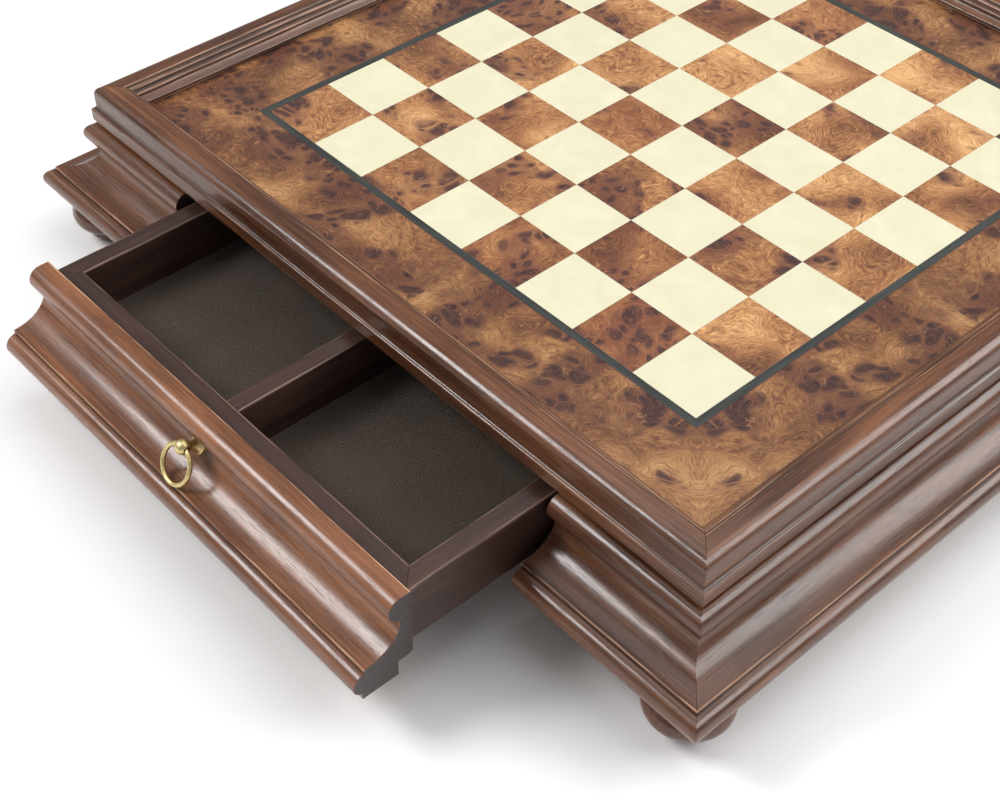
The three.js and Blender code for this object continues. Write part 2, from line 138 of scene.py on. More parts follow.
class Outline:
    """A closed outline, point by point, with its arcs and curves already in short steps."""

    def __init__(self, x, y):
        self.points = [(x, y)]

    def line(self, x, y):
        self.points.append((x, y))
        return self

    def curve(self, control_x, control_y, x, y, steps=8):
        start_x, start_y = self.points[-1]
        for step in range(1, steps + 1):
            t = step / steps
            along_x = (1 - t) ** 2 * start_x + 2 * t * (1 - t) * control_x + t * t * x
            along_y = (1 - t) ** 2 * start_y + 2 * t * (1 - t) * control_y + t * t * y
            self.points.append((along_x, along_y))
        return self

    def arc(self, centre_x, centre_y, radius_x, radius_y, start, end, steps=28):
        for step in range(steps + 1):
            angle = start + (end - start) * step / steps
            x = centre_x + radius_x * math.cos(angle)
            y = centre_y + radius_y * math.sin(angle)
            self.points.append((x, y))
        return self


def tidy_points(points):
    """The points as an array, anticlockwise, without repeats."""
    kept = []
    for point in points:
        if not kept or math.dist(point, kept[-1]) > 1e-4:
            kept.append(point)
    if math.dist(kept[0], kept[-1]) < 1e-4:
        kept.pop()
    array = np.array(kept)
    following = np.roll(array, -1, axis=0)
    area = np.sum(array[:, 0] * following[:, 1] - following[:, 0] * array[:, 1])
    return array if area > 0 else array[::-1]


SHARP_TURN = math.radians(18)
CORNER_STEPS = 4


def soften(points, radius=0.35, support=1.3):
    """Rounds each sharp corner a little, between support points that keep the flats beside it flat.

    It also says how worn each point is, above 0 on a crest, and how much painted shade it gets, below 0 in
    a crease.
    """
    array = tidy_points(points)
    made, wear_and_crease_shade = [], []
    count = len(array)
    for i in range(count):
        point = array[i]
        into = point - array[i - 1]
        away = array[(i + 1) % count] - point
        into_length, away_length = np.linalg.norm(into), np.linalg.norm(away)
        into, away = into / into_length, away / away_length
        turn = math.atan2(into[0] * away[1] - into[1] * away[0], float(into @ away))
        if abs(turn) < SHARP_TURN:
            made.append(point)
            wear_and_crease_shade.append(float(np.clip(turn / (into_length + away_length) * 3, -0.5, 0.5)))
            continue
        if into_length > 2.5 * support:
            made.append(point - into * support)
            wear_and_crease_shade.append(0.0)
        corner = min(radius, 0.4 * into_length, 0.4 * away_length)
        for step in range(CORNER_STEPS):
            t = step / (CORNER_STEPS - 1)
            made.append(point - into * corner * (1 - t) ** 2 + away * corner * t * t)
            wear_and_crease_shade.append(math.copysign(min(1.0, abs(turn)), turn))
        if away_length > 2.5 * support:
            made.append(point + away * support)
            wear_and_crease_shade.append(0.0)
    return np.array(made), np.array(wear_and_crease_shade)


def rim_outline():
    """The frame: a lip, a flat face, a round shoulder, then two reeds and a slope down to the board."""
    rebate = BOARD_HALF + 0.4
    rebate_top = 0.3
    lip_round = 1.2
    shoulder_run, shoulder_drop = 6.0, 5.5
    shoulder_y = RIM_TOP - shoulder_drop
    outline = Outline(rebate, RIM_BOTTOM)
    outline.line(RIM_LIP - lip_round, RIM_BOTTOM)
    outline.curve(RIM_LIP, RIM_BOTTOM, RIM_LIP, RIM_BOTTOM + lip_round)
    outline.line(RIM_LIP, -3.0).curve(RIM_LIP, -2.0, RIM_LIP - 1, -1.8)
    outline.curve(RIM_FACE, -1.6, RIM_FACE, 0.0)
    outline.line(RIM_FACE, shoulder_y)
    outline.arc(RIM_FACE - shoulder_run, shoulder_y, shoulder_run, shoulder_drop, 0.0, math.pi / 2, 16)
    outline.line(RIM_INNER + 8.9, RIM_TOP).line(RIM_INNER + 8.5, RIM_TOP - 0.3)
    outline.line(RIM_INNER + 8.4, RIM_TOP - 1.4)
    outline.arc(RIM_INNER + 7.0, RIM_TOP - 2.9, 1.4, 1.5, math.pi * 0.42, math.pi * 1.1, 12)
    outline.line(RIM_INNER + 5.8, RIM_TOP - 3.9)
    outline.arc(RIM_INNER + 4.7, RIM_TOP - 5.4, 1.1, 1.2, math.pi * 0.42, math.pi * 1.05, 10)
    outline.line(RIM_INNER + 4.1, RIM_TOP - 6.4).line(RIM_INNER + 3.4, RIM_TOP - 6.5)
    outline.curve(RIM_INNER + 2.0, RIM_TOP - 8.1, RIM_INNER + 0.3, RIM_TOP - 9.0)
    outline.curve(RIM_INNER, RIM_TOP - 9.3, RIM_INNER, RIM_TOP - 9.7, 4)
    undercut = RIM_INNER + 0.9
    outline.line(undercut, 1.8).line(undercut, rebate_top).line(rebate, rebate_top)
    return outline.points


def moulding_face(outline):
    """The outer face of the base, down from its bead: bead, quirk, cove, fillet, nose and plinth."""
    bead_y = MOULDING_TOP - BEAD_RADIUS
    nose_y = FILLET_BOTTOM - NOSE_RADIUS_Y
    outline.arc(COVE_TOP_X - 1.2, bead_y, BEAD_RADIUS, BEAD_RADIUS, math.pi / 2, 0.18 - math.pi / 2)
    outline.line(COVE_TOP_X, COVE_TOP_Y)
    outline.arc(FILLET_X, COVE_TOP_Y, COVE_RUN, COVE_DROP, math.pi, 1.5 * math.pi, 36)
    outline.line(FILLET_X, FILLET_BOTTOM)
    outline.arc(FILLET_X, nose_y, NOSE_RADIUS_X, NOSE_RADIUS_Y, math.pi / 2, -1.05)
    outline.line(PLINTH_X, nose_y - NOSE_RADIUS_Y * 0.95).line(PLINTH_X, BASE_BOTTOM)
    return outline


def base_outline():
    outline = moulding_face(Outline(MOULDING_BACK, MOULDING_TOP))
    return outline.line(MOULDING_BACK, BASE_BOTTOM).points


def drawer_front_outline():
    """The base's face, with a rebate at the back that clears the front rail."""
    clearance = 0.4
    chamfer = 1.4
    rebate = reach("drawer_rail")[1] + clearance
    rebate_top = heights("drawer_rail")[1] + clearance
    outline = moulding_face(Outline(MOULDING_BACK, MOULDING_TOP))
    outline.line(rebate, BASE_BOTTOM).line(rebate, rebate_top)
    outline.line(MOULDING_BACK + chamfer, rebate_top).line(MOULDING_BACK, rebate_top + chamfer)
    return outline.points


def box_wall_outline(outer):
    """A drawer wall, with the groove that holds the bottom."""
    inner = outer - BOX_WALL
    groove_back = inner + 3.0
    groove_top = LINING_BOTTOM
    groove_bottom = groove_top - 3.2
    return [
        (inner, BOX_BOTTOM), (outer, BOX_BOTTOM), (outer, BOX_TOP), (inner, BOX_TOP),
        (inner, groove_top), (groove_back, groove_top),
        (groove_back, groove_bottom), (inner, groove_bottom),
    ]


def rectangle(x0, x1, y0, y1):
    return [(x0, y0), (x1, y0), (x1, y1), (x0, y1)]


# ---------------- meshes
# "grain" carries each piece's own position in the plank it was cut from, in metres: along the
# grain, then two ways across it. "finish" carries wear on crests (above 0) and painted shade in creases
# (below 0), or for burl squares how red they are, then end grain, and how calm the figure is.


def make_object(name, vertices, faces, body, material, stands_for, sharp=32):
    mesh = bpy.data.meshes.new(name)
    mesh.from_pydata([tuple(v) for v in vertices], [], faces)
    mesh.materials.append(material)
    made = bpy.data.objects.new(name, mesh)
    bpy.context.scene.collection.objects.link(made)
    smooth(mesh, sharp)
    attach(made, body)
    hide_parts(*stands_for)
    return made


def smooth(mesh, sharp=32):
    mesh.shade_smooth()
    mesh.set_sharp_from_angle(angle=math.radians(sharp))


def paint(mesh, grain, finish):
    """Stores the grain at each vertex and the finish at each face corner."""
    for name in ("grain", "finish"):
        if name in mesh.attributes:
            mesh.attributes.remove(mesh.attributes[name])
    attribute = mesh.attributes.new("grain", "FLOAT_VECTOR", "POINT")
    attribute.data.foreach_set("vector", np.asarray(grain, np.float32).ravel())
    attribute = mesh.attributes.new("finish", "FLOAT_VECTOR", "CORNER")
    attribute.data.foreach_set("vector", np.asarray(finish, np.float32).ravel())


def vertices_of(mesh):
    flat = np.zeros(len(mesh.vertices) * 3)
    mesh.vertices.foreach_get("co", flat)
    return flat.reshape(-1, 3)


def random_offset():
    return np.array([CHANCE.uniform(0, 20), CHANCE.uniform(0, 4), CHANCE.uniform(0, 4)])


def turned(points, turns, centre):
    """Front-side points (along, out, up) in millimetres, turned to their side and put in place."""
    along, out, up = np.asarray(points, float).T * MM
    angle = turns * math.pi / 2
    x = along * math.cos(angle) + out * math.sin(angle)
    y = along * math.sin(angle) - out * math.cos(angle)
    return np.stack([x + centre.x, y + centre.y, up + SURFACE], axis=1)


def turned_back(points, turns, centre):
    """The reverse of turned()."""
    angle = turns * math.pi / 2
    x, y, z = (np.asarray(points, float) - (centre.x, centre.y, SURFACE)).T / MM
    along = x * math.cos(angle) + y * math.sin(angle)
    out = x * math.sin(angle) - y * math.cos(angle)
    return np.stack([along, out, z], axis=1)


def mitre_right(distance):
    return distance - MITRE_GAP / 2


def mitre_left(distance):
    return MITRE_GAP / 2 - distance


def veneer_right(distance):
    return distance - VENEER_GAP / 2


def veneer_left(distance):
    return VENEER_GAP / 2 - distance


def square_at(x):
    return lambda distance: np.full_like(distance, x)


def inward(points):
    """The direction into the outline at each of its points."""
    into = points - np.roll(points, 1, axis=0)
    away = np.roll(points, -1, axis=0) - points
    into /= np.linalg.norm(into, axis=1)[:, None]
    away /= np.linalg.norm(away, axis=1)[:, None]
    direction = into + away
    direction /= np.linalg.norm(direction, axis=1)[:, None]
    return np.stack([-direction[:, 1], direction[:, 0]], axis=1)


def sweep(name, outline, body, material, turns=0, right=mitre_right, left=mitre_left, centre=CENTRE,
          radius=0.35, ease=0.12, cutters=(), calm=None):
    """A strip of one outline, from left(distance) to right(distance), with its corners and ends eased."""
    points, wear_and_crease_shade = soften(outline, radius)
    inset = points + inward(points) * ease
    count = len(points)
    lengthwise = 10
    rings = [(0.0, 0.0, inset), (0.0, ease, points)]
    rings += [(step / lengthwise, 0.0, points) for step in range(1, lengthwise)]
    rings += [(1.0, -ease, points), (1.0, 0.0, inset)]
    local = []
    for share, shift, ring in rings:
        start, end = left(points[:, 0]), right(points[:, 0])
        along = start + (end - start) * share + shift
        local.append(np.column_stack([along, ring]))
    faces = []
    for k in range(len(rings) - 1):
        for i in range(count):
            j = (i + 1) % count
            faces.append((k * count + i, (k + 1) * count + i, (k + 1) * count + j, k * count + j))
    faces.append(tuple(range(count)))
    faces.append(tuple(reversed(range((len(rings) - 1) * count, len(rings) * count))))
    vertices = turned(np.concatenate(local), turns, centre)
    made = make_object(name, vertices, faces, body, material, [name])
    for cutter in cutters:
        boolean(made, cutter)
    mesh = made.data
    local = turned_back(vertices_of(mesh), turns, centre)
    nearest = np.linalg.norm(local[:, None, 1:] - points[None], axis=2).argmin(axis=1)
    along_axis = np.array([math.cos(turns * math.pi / 2), math.sin(turns * math.pi / 2), 0])
    finish = []
    for face in mesh.polygons:
        faces_along = abs(float(along_axis @ np.array(face.normal))) > 0.5
        is_end = len(face.vertices) > 12 and faces_along
        for v in face.vertices:
            quiet = calm(local[v]) if calm else 0.0
            finish.append((0.0 if is_end else wear_and_crease_shade[nearest[v]], float(is_end), quiet))
    paint(mesh, local * MM + random_offset(), finish)
    return made


def lathe(name, profile, place, body, material, stands_for, steps=72, cutters=()):
    """A turned piece: profile is (radius, height) in millimetres, and place turns and moves it."""
    vertices, rings = [], []
    for radius, level in profile:
        if radius < 1e-6:
            rings.append([len(vertices)] * steps)
            vertices.append((0.0, 0.0, level))
            continue
        rings.append(list(range(len(vertices), len(vertices) + steps)))
        for step in range(steps):
            angle = 2 * math.pi * step / steps
            vertices.append((radius * math.cos(angle), radius * math.sin(angle), level))
    faces = []
    pairs = len(profile) - 1 if profile[0][0] < 1e-6 else len(profile)
    for i in range(pairs):
        lower, upper = rings[i], rings[(i + 1) % len(profile)]
        for a in range(steps):
            b = (a + 1) % steps
            corners = [lower[a], lower[b], upper[b], upper[a]]
            face = tuple(dict.fromkeys(corners))
            if len(face) > 2:
                faces.append(face)
    placed = [place @ (Vector(v) * MM) for v in vertices]
    made = make_object(name, placed, faces, body, material, stands_for, sharp=38)
    for cutter in cutters:
        boolean(made, cutter, 38)
    mesh = made.data
    back = np.array(place.inverted())
    local = vertices_of(mesh) @ back[:3, :3].T + back[:3, 3]
    finish = [(0.0, 0.0, 0.0)] * len(mesh.loops)
    paint(mesh, local[:, [2, 0, 1]] + random_offset(), finish)
    return made


def boolean(target, cutter, sharp=32):
    """Cuts one closed mesh out of another, for good, and removes the cutter."""
    modifier = target.modifiers.new("cut", "BOOLEAN")
    modifier.operation = "DIFFERENCE"
    modifier.object = cutter
    modifier.solver = "EXACT"
    graph = bpy.context.evaluated_depsgraph_get()
    graph.update()
    cut = bpy.data.meshes.new_from_object(target.evaluated_get(graph))
    target.modifiers.clear()
    old = target.data
    name = old.name
    old.name = name + "_uncut"
    target.data = cut
    cut.name = name
    smooth(cut, sharp)
    bpy.data.meshes.remove(old)
    bpy.data.objects.remove(cutter)


def cylinder(radius, low, high, place, steps=64):
    """A plain cylinder to cut with."""
    made = bmesh.new()
    bmesh.ops.create_cone(made, cap_ends=True, segments=steps, radius1=radius * MM, radius2=radius * MM,
                          depth=(high - low) * MM)
    bmesh.ops.translate(made, verts=made.verts, vec=(0, 0, (low + high) / 2 * MM))
    made.transform(place)
    mesh = bpy.data.meshes.new("cutter")
    made.to_mesh(mesh)
    made.free()
    cutter = bpy.data.objects.new("cutter", mesh)
    bpy.context.scene.collection.objects.link(cutter)
    return cutter


# ---------------- materials


def linear(*screen):
    """A colour given as it looks on a screen, red, green and blue from 0 to 255, as the shader wants it."""
    shares = [value / 255 for value in screen]
    return tuple(s / 12.92 if s <= 0.04 else ((s + 0.055) / 1.055) ** 2.4 for s in shares) + (1,)


class Graph:
    """A material's nodes, made with short calls."""

    def __init__(self, name):
        self.material = bpy.data.materials.new(name)
        self.material.use_nodes = True
        self.tree = self.material.node_tree
        self.tree.nodes.clear()
        self.shader = self.node("ShaderNodeBsdfPrincipled")
        output = self.node("ShaderNodeOutputMaterial")
        self.tree.links.new(self.shader.outputs[0], output.inputs[0])

    def node(self, kind, inputs=(), **settings):
        made = self.tree.nodes.new(kind)
        for key, value in settings.items():
            setattr(made, key, value)
        for key, value in dict(inputs).items():
            self.put(made.inputs[key], value)
        return made

    def put(self, socket, value):
        if isinstance(value, bpy.types.NodeSocket):
            self.tree.links.new(value, socket)
        else:
            socket.default_value = value

    def surface(self, **values):
        for key, value in values.items():
            self.put(self.shader.inputs[key.replace("_", " ").title().replace("Ior", "IOR")], value)

    def attribute(self, name):
        return self.node("ShaderNodeAttribute", attribute_name=name).outputs["Vector"]

    def separate(self, vector):
        return self.node("ShaderNodeSeparateXYZ", {0: vector}).outputs

    def scale(self, vector, x, y, z):
        return self.node("ShaderNodeVectorMath", {0: vector, 1: (x, y, z)}, operation="MULTIPLY").outputs[0]

    def combine(self, x, y=0.0, z=0.0):
        return self.node("ShaderNodeCombineXYZ", {0: x, 1: y, 2: z}).outputs[0]

    def shift(self, vector, by):
        return self.node("ShaderNodeVectorMath", {0: vector, 1: by}, operation="ADD").outputs[0]

    def math(self, operation, a, b=0.0, clamp=False):
        return self.node("ShaderNodeMath", {0: a, 1: b}, operation=operation, use_clamp=clamp).outputs[0]

    def times(self, a, b, clamp=False):
        return self.math("MULTIPLY", a, b, clamp)

    def plus(self, a, b, clamp=False):
        return self.math("ADD", a, b, clamp)

    def minus(self, a, b):
        return self.math("SUBTRACT", a, b)

    def noise(self, vector, detail=2.0, roughness=0.5, distortion=0.0, output="Fac"):
        inputs = {"Vector": vector, "Scale": 1.0, "Detail": detail, "Roughness": roughness}
        inputs["Distortion"] = distortion
        return self.node("ShaderNodeTexNoise", inputs).outputs[output]

    def levels(self, value, low, high, to_low=0.0, to_high=1.0):
        inputs = {0: value, 1: low, 2: high, 3: to_low, 4: to_high}
        return self.node("ShaderNodeMapRange", inputs, interpolation_type="SMOOTHSTEP").outputs[0]

    def mix(self, factor, a, b, blend="MIX"):
        made = self.node("ShaderNodeMix", data_type="RGBA", blend_type=blend)
        self.put(made.inputs[0], factor)
        self.put(made.inputs[6], a)
        self.put(made.inputs[7], b)
        return made.outputs[2]

    def shaded(self, colour, amount):
        return self.mix(1.0, colour, self.combine(amount, amount, amount), "MULTIPLY")

    def ramp(self, factor, *stops):
        made = self.node("ShaderNodeValToRGB", {0: factor})
        elements = made.color_ramp.elements
        while len(elements) < len(stops):
            elements.new(0.5)
        for element, (position, colour) in zip(elements, stops):
            element.position = position
            element.color = colour
        return made.outputs[0]

    def bump(self, height, distance, strength=1.0, under=None):
        made = self.node("ShaderNodeBump", {"Strength": strength, "Distance": distance, "Height": height})
        if under is not None:
            self.put(made.inputs["Normal"], under)
        return made.outputs[0]


def wood(name, dark, middle_tone, light, worn, roughness, coat, end=(58, 45, 42), pale_scuffs=0.0):
    """Straight-grained stained wood under a thin finish, rubbed pale on crests, with painted shade in
    creases.
    """
    g = Graph(name)
    grain = g.attribute("grain")
    wear_and_crease_shade, end_grain = g.separate(g.attribute("finish"))[:2]
    wander = g.noise(g.scale(grain, 6, 60, 60), 1.0, output="Color")
    bent = g.shift(grain, g.scale(g.shift(wander, (-0.5, -0.5, -0.5)), 0.0, 0.006, 0.006))
    figure = g.noise(g.scale(bent, 7, 190, 190), 3.0, 0.55, 0.4)
    streaks = g.noise(g.scale(bent, 16, 1000, 1000), 3.0, 0.7)
    fibres = g.noise(g.scale(grain, 45, 2600, 2600), 2.0, 0.6)
    pores = g.levels(g.noise(g.scale(grain, 120, 2400, 2400), 1.0), 0.60, 0.70)
    cloud = g.noise(g.scale(grain, 14, 30, 30), 2.0)
    mixed = g.plus(g.times(figure, 0.42), g.times(streaks, 0.38))
    mixed = g.plus(mixed, g.times(fibres, 0.20))
    colour = g.ramp(mixed, (0.34, linear(*dark)), (0.5, linear(*middle_tone)), (0.66, linear(*light)))
    colour = g.shaded(colour, g.levels(cloud, 0.3, 0.7, 0.78, 1.18))
    colour = g.mix(g.times(pores, 0.5), colour, linear(*(c * 0.45 for c in dark)))
    crest = g.levels(g.times(wear_and_crease_shade, g.levels(streaks, 0.36, 0.66, 0.2, 1.2)), 0.22, 0.85)
    colour = g.mix(g.times(crest, 0.75), colour, linear(*worn))
    # painted shade: creases and quirks are darkened towards near black
    crease = g.levels(g.times(wear_and_crease_shade, -1.0), 0.12, 0.9)
    colour = g.mix(g.times(crease, 0.75), colour, linear(*(c * 0.3 for c in dark)))
    across = g.noise(g.scale(grain, 300, 420, 420), 4.0, 0.65)
    end_colour = g.ramp(across, (0.35, linear(*(c * 0.72 for c in end))), (0.65, linear(*end)))
    colour = g.mix(end_grain, colour, end_colour)
    if pale_scuffs:
        scuff = g.levels(g.noise(g.scale(grain, 35, 1900, 1900), 2.0, 0.7), 0.70, 0.76)
        patchy = g.levels(g.noise(g.scale(grain, 30, 60, 60), 2.0), 0.52, 0.62)
        scuffed = g.times(g.times(scuff, patchy), pale_scuffs)
        colour = g.mix(scuffed, colour, linear(*worn))
    uneven = g.plus(g.times(cloud, 0.5), g.times(fibres, 0.5))
    rough = g.levels(uneven, 0.35, 0.65, roughness - 0.05, roughness + 0.09)
    rough = g.plus(rough, g.times(g.plus(pores, end_grain), 0.16), clamp=True)
    height = g.minus(g.times(streaks, 0.6), g.times(pores, 0.5))
    waves = g.noise(g.scale(grain, 9, 70, 70), 1.0)
    normal = g.bump(height, 0.00010, 0.55, g.bump(waves, 0.0006, 0.5))
    g.surface(base_color=colour, roughness=rough, normal=normal, coat_weight=coat,
              coat_roughness=0.16, ior=1.5)
    return g.material


def burl(name, lightness=1.0):
    """Burr veneer under lacquer: flowing figure, clusters of dark eyes with rings, pale fissures."""
    g = Graph(name)
    place = g.attribute("grain")
    red, _, calm = g.separate(g.attribute("finish"))[:3]
    x, y, layer = g.separate(place)[:3]
    drift = g.shift(g.noise(g.scale(place, 16, 16, 16), 1.0, output="Color"), (-0.5, -0.5, -0.5))
    swirl = g.shift(g.noise(g.scale(place, 60, 60, 60), 1.0, output="Color"), (-0.5, -0.5, -0.5))
    flow = g.shift(place, g.scale(drift, 0.040, 0.040, 0.0))
    flow = g.shift(flow, g.scale(swirl, 0.011, 0.011, 0.0))
    broad = g.noise(g.scale(flow, 26, 26, 26), 1.0)
    clusters = g.noise(g.scale(flow, 30, 30, 30), 1.5, 0.5)
    clusters = g.minus(clusters, g.times(calm, 0.16))
    knotty = g.levels(clusters, 0.45, 0.58)

    # eyes, each with a dark heart and rings, parted by pale seams where they crowd together
    def eyes(scale, share, size, phase):
        warped = g.shift(g.scale(flow, scale, scale, 0.0), (phase, 2 * phase, 0.0))
        inputs = {"Vector": g.shift(warped, g.combine(g.times(layer, 13.7))), "Scale": 1.0}
        cell = g.node("ShaderNodeTexVoronoi", inputs, voronoi_dimensions="2D")
        edge = g.node("ShaderNodeTexVoronoi", inputs, voronoi_dimensions="2D", feature="DISTANCE_TO_EDGE")
        seam = edge.outputs["Distance"]
        chosen = g.levels(g.separate(cell.outputs["Color"])[0], 1 - share - 0.04, 1 - share + 0.04)
        chosen = g.times(chosen, g.levels(seam, 0.02, 0.14))
        distance = cell.outputs["Distance"]
        span = g.times(chosen, g.levels(distance, size * 0.6, size * 1.1, 1.0, 0.0))
        heart = g.times(chosen, g.levels(distance, size * 0.38, size * 0.80, 1.0, 0.0))
        ring = g.times(span, g.math("SINE", g.times(distance, 32.0 / size)))
        return span, heart, ring

    fine_span, fine_heart, fine_ring = eyes(122, 0.66, 0.52, 3.1)
    wide_span, wide_heart, wide_ring = eyes(66, 0.60, 0.56, 7.7)
    span = g.times(g.math("MAXIMUM", fine_span, wide_span), knotty)
    heart = g.times(g.math("MAXIMUM", fine_heart, wide_heart), g.levels(clusters, 0.47, 0.55))
    rings = g.times(g.math("MAXIMUM", fine_ring, wide_ring), g.levels(clusters, 0.42, 0.54))

    # fibres that follow the figure: fine across it, long along it
    bend = g.plus(broad, g.times(span, 0.10))
    across = g.plus(g.times(bend, 120.0), g.times(clusters, 40.0))
    lengthwise = g.combine(across, g.times(x, 210.0), g.times(g.plus(y, layer), 210.0))
    fibres = g.noise(lengthwise, 4.0, 0.68)
    vein = g.levels(g.noise(g.scale(lengthwise, 0.42, 0.5, 0.5), 1.0), 0.60, 0.70)
    speck = g.noise(g.scale(place, 1300, 1300, 1300), 2.0, 0.6)

    tone = g.plus(g.times(broad, 0.55), g.times(g.minus(fibres, 0.5), 0.62))
    tone = g.plus(tone, g.plus(g.times(calm, 0.13), 0.19))
    colour = g.ramp(
        tone,
        (0.30, linear(74, 43, 30)),
        (0.42, linear(122, 79, 50)),
        (0.53, linear(162, 114, 72)),
        (0.68, linear(206, 160, 108)),
    )
    colour = g.mix(g.times(vein, 0.5), colour, linear(92, 50, 36))
    colour = g.mix(g.times(knotty, 0.58), colour, linear(92, 52, 41))
    colour = g.mix(g.times(span, 0.60), colour, linear(78, 45, 42))
    colour = g.mix(g.times(red, 0.55), colour, linear(122, 66, 42))
    colour = g.mix(g.levels(rings, 0.2, 0.9, 0.0, 0.55), colour, linear(158, 100, 66))
    heart = g.times(heart, g.levels(fibres, 0.35, 0.65, 1.0, 0.55))
    colour = g.mix(g.times(heart, 0.92), colour, linear(43, 27, 32))

    # pale threads that wander through it
    thread = g.math("ABSOLUTE", g.minus(g.noise(g.scale(flow, 95, 95, 95), 1.0), 0.5))
    thread_mask = g.levels(thread, 0.0, 0.010, 1.0, 0.0)
    broken = g.levels(g.noise(g.scale(place, 130, 130, 130), 1.0), 0.54, 0.66)
    colour = g.mix(g.times(g.times(thread_mask, broken), 0.5), colour, linear(196, 150, 106))
    colour = g.shaded(colour, g.times(g.levels(speck, 0.3, 0.7, 0.86, 1.12), lightness))
    rough = g.levels(speck, 0.3, 0.7, 0.28, 0.36)
    height = g.minus(g.times(fibres, 0.5), g.times(heart, 0.5))
    normal = g.bump(height, 0.00004, 0.5)
    g.surface(base_color=colour, roughness=rough, normal=normal, coat_weight=0.3, coat_roughness=0.10,
              ior=1.46)
    return g.material


def pale_veneer():
    """Bleached, lacquered light squares: nearly even, with soft clouds and a faint fine grain."""
    g = Graph("light_square_veneer")
    place = g.attribute("grain")
    cloud = g.noise(g.scale(place, 55, 55, 55), 3.0, 0.6, 0.6)
    grain = g.noise(g.scale(place, 260, 900, 260), 3.0, 0.6)
    fleck = g.levels(g.noise(g.scale(place, 420, 420, 420), 1.0), 0.60, 0.75)
    colour = g.ramp(
        cloud,
        (0.30, linear(215, 210, 180)),
        (0.55, linear(219, 214, 185)),
        (0.70, linear(223, 218, 189)),
    )
    colour = g.mix(g.levels(grain, 0.35, 0.7, 0.0, 0.16), colour, linear(226, 218, 178))
    colour = g.mix(g.times(fleck, 0.12), colour, linear(222, 205, 158))
    rough = g.levels(cloud, 0.3, 0.7, 0.34, 0.44)
    g.surface(base_color=colour, roughness=rough, normal=g.bump(grain, 0.00003, 0.4), coat_weight=0.3,
              coat_roughness=0.14, ior=1.48)
    return g.material


def black_line():
    """Dyed stringing, nearly black, with its grain just visible."""
    g = Graph("black_line_veneer")
    place = g.attribute("grain")
    grain = g.noise(g.scale(place, 30, 1300, 1300), 3.0, 0.65)
    cloud = g.noise(g.scale(place, 25, 200, 200), 2.0)
    colour = g.ramp(grain, (0.35, linear(36, 39, 38)), (0.65, linear(58, 60, 58)))
    colour = g.mix(g.levels(cloud, 0.4, 0.7, 0.0, 0.35), colour, linear(72, 76, 70))
    rough = g.levels(grain, 0.3, 0.7, 0.34, 0.46)
    g.surface(base_color=colour, roughness=rough, normal=g.bump(grain, 0.00004, 0.5), coat_weight=0.25,
              coat_roughness=0.16, ior=1.48)
    return g.material


def lining_cloth():
    """The compartments' liner, embossed with small squares, with dust and rubbed patches."""
    g = Graph("embossed_lining")
    place = g.attribute("grain")
    warp = g.noise(g.scale(place, 30, 30, 30), 1.0, output="Color")
    bent = g.shift(place, g.scale(g.shift(warp, (-0.5, -0.5, -0.5)), 0.0016, 0.0016, 0.0))
    x, y = g.separate(bent)[:2]
    emboss_pitch = 1.42 * MM
    pitch = 2 * math.pi / emboss_pitch
    rows = g.math("SINE", g.times(x, pitch))
    columns = g.math("SINE", g.times(y, pitch))
    cushion = g.times(g.levels(rows, -0.9, 0.2), g.levels(columns, -0.9, 0.2))
    cloud = g.noise(g.scale(place, 20, 12, 20), 3.0, 0.6)
    fuzz = g.noise(g.scale(place, 2400, 2400, 2400), 2.0, 0.6)
    colour = g.ramp(cloud, (0.3, linear(47, 32, 19)), (0.5, linear(62, 44, 28)), (0.72, linear(77, 56, 37)))
    # painted shade: the grooves between the embossed squares are darkened towards near black
    colour = g.mix(cushion, g.mix(0.62, colour, linear(18, 14, 12)), colour)
    colour = g.mix(g.levels(fuzz, 0.35, 0.75, 0.0, 0.3), colour, linear(106, 84, 62))
    speck = g.levels(g.noise(g.scale(place, 620, 620, 620), 0.0), 0.80, 0.83)
    colour = g.mix(g.times(speck, 0.25), colour, linear(150, 132, 110))
    rough = g.levels(cushion, 0.0, 1.0, 0.9, 0.62)
    height = g.plus(cushion, g.times(fuzz, 0.25))
    g.surface(base_color=colour, roughness=rough, normal=g.bump(height, 0.00028, 0.9), sheen_weight=0.25,
              sheen_roughness=0.5, ior=1.45)
    return g.material


def felt_pad():
    g = Graph("foot_felt")
    place = g.attribute("grain")
    fuzz = g.noise(g.scale(place, 1600, 1600, 1600), 4.0, 0.7)
    clump = g.noise(g.scale(place, 260, 260, 260), 3.0, 0.6, 1.0)
    colour = g.ramp(fuzz, (0.3, linear(30, 27, 24)), (0.7, linear(62, 56, 50)))
    colour = g.mix(g.levels(clump, 0.4, 0.7, 0.0, 0.5), colour, linear(78, 70, 62))
    g.surface(base_color=colour, roughness=0.95, normal=g.bump(fuzz, 0.0004, 0.9), sheen_weight=0.5)
    return g.material


def aged_brass():
    """Satin brass, lacquered long ago: cloudy, with scattered darker spots."""
    g = Graph("aged_brass")
    place = g.attribute("grain")
    cloud = g.noise(g.scale(place, 320, 320, 320), 4.0, 0.6, 0.5)
    fine = g.noise(g.scale(place, 2600, 2600, 900), 3.0, 0.6)
    spots = g.levels(g.noise(g.scale(place, 900, 900, 900), 2.0), 0.62, 0.72)
    colour = g.ramp(
        cloud,
        (0.30, linear(196, 172, 114)),
        (0.55, linear(224, 206, 148)),
        (0.72, linear(238, 224, 172)),
    )
    colour = g.mix(g.times(spots, 0.5), colour, linear(120, 94, 52))
    uneven = g.plus(g.times(cloud, 0.6), g.times(fine, 0.4))
    rough = g.levels(uneven, 0.3, 0.7, 0.30, 0.46)
    g.surface(base_color=colour, roughness=rough, normal=g.bump(fine, 0.00002, 0.5), metallic=1.0)
    return g.material


